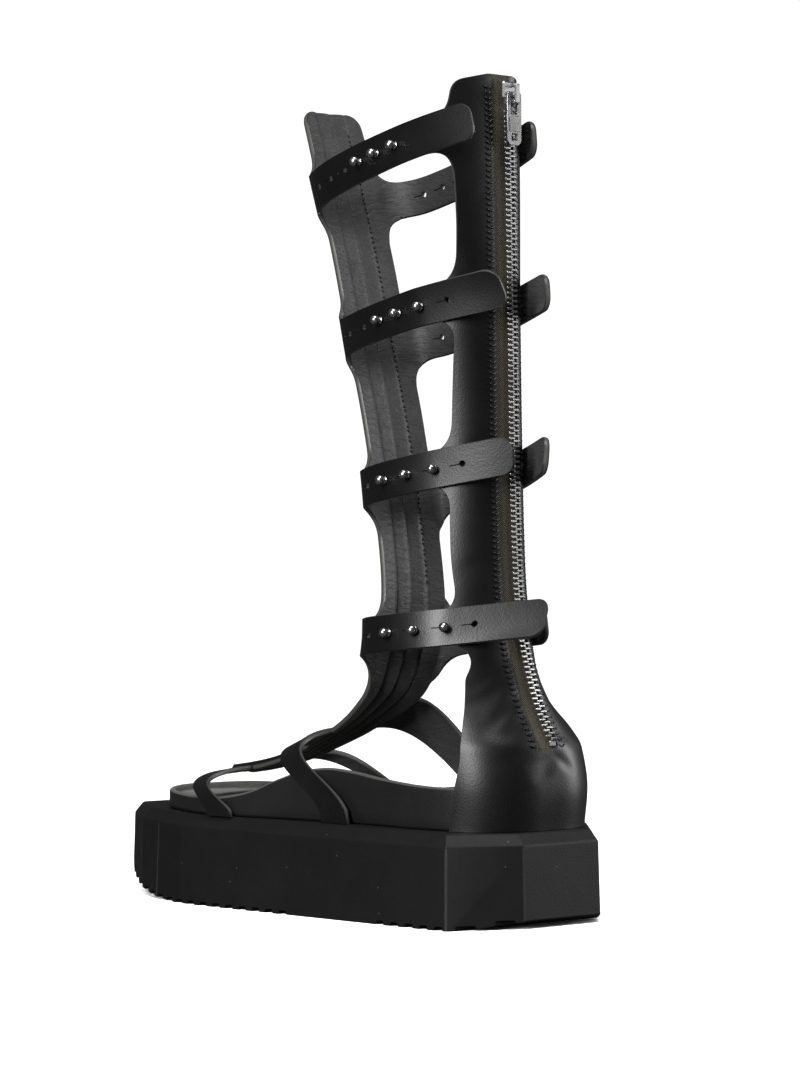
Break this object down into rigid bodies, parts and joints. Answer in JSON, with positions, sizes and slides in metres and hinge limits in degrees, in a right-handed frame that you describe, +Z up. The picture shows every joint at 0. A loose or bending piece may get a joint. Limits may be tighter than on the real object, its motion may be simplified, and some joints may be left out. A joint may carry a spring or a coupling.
{
  "type": "gladiator sandal",
  "caption": "Knee-high gladiator sandal with a ribbed shin panel, strapped open shaft, back zip and thick ridged platform sole.",
  "frame": {"origin": "centre of the bounding box's bottom face, on the floor", "axes": "+Z up, -Y towards the toe, +X towards the inner side of the foot"},
  "size_m": [0.1188, 0.3056, 0.408],
  "materials": {
    "rubber": "matte black moulded rubber",
    "leather": "black leather, lightly worn edges",
    "lining": "grey suede lining",
    "tape": "woven olive zip tape",
    "nickel": "polished nickel"
  },
  "bodies": {
    "sandal": {"outsole": "rubber", "footbed": "leather", "insole": "lining", "upper_front": "leather", "upper_back": "leather", "zip_tape": "tape", "zip_chain": "nickel", "zip_slider": "nickel", "stud_inner_top_1": "nickel", "stud_inner_top_2": "nickel", "stud_inner_top_3": "nickel", "stud_inner_upper_1": "nickel", "stud_inner_upper_2": "nickel", "stud_inner_upper_3": "nickel", "stud_inner_lower_1": "nickel", "stud_inner_lower_2": "nickel", "stud_inner_lower_3": "nickel", "stud_inner_ankle_1": "nickel", "stud_inner_ankle_2": "nickel", "stud_inner_ankle_3": "nickel", "stud_outer_top_1": "nickel", "stud_outer_top_2": "nickel", "stud_outer_top_3": "nickel", "stud_outer_upper_1": "nickel", "stud_outer_upper_2": "nickel", "stud_outer_upper_3": "nickel", "stud_outer_lower_1": "nickel", "stud_outer_lower_2": "nickel", "stud_outer_lower_3": "nickel", "stud_outer_ankle_1": "nickel", "stud_outer_ankle_2": "nickel", "stud_outer_ankle_3": "nickel"},
    "pull_tab": {"zip_pull_tab": "nickel"}
  },
  "joints": [
    {"name": "pull_tab_swing", "type": "hinge", "parent": "sandal", "child": "pull_tab", "pos_m": [-0.0017, 0.1175, 0.3986], "axis": [1, 0, 0], "range_deg": [0, 150]}
  ]
}
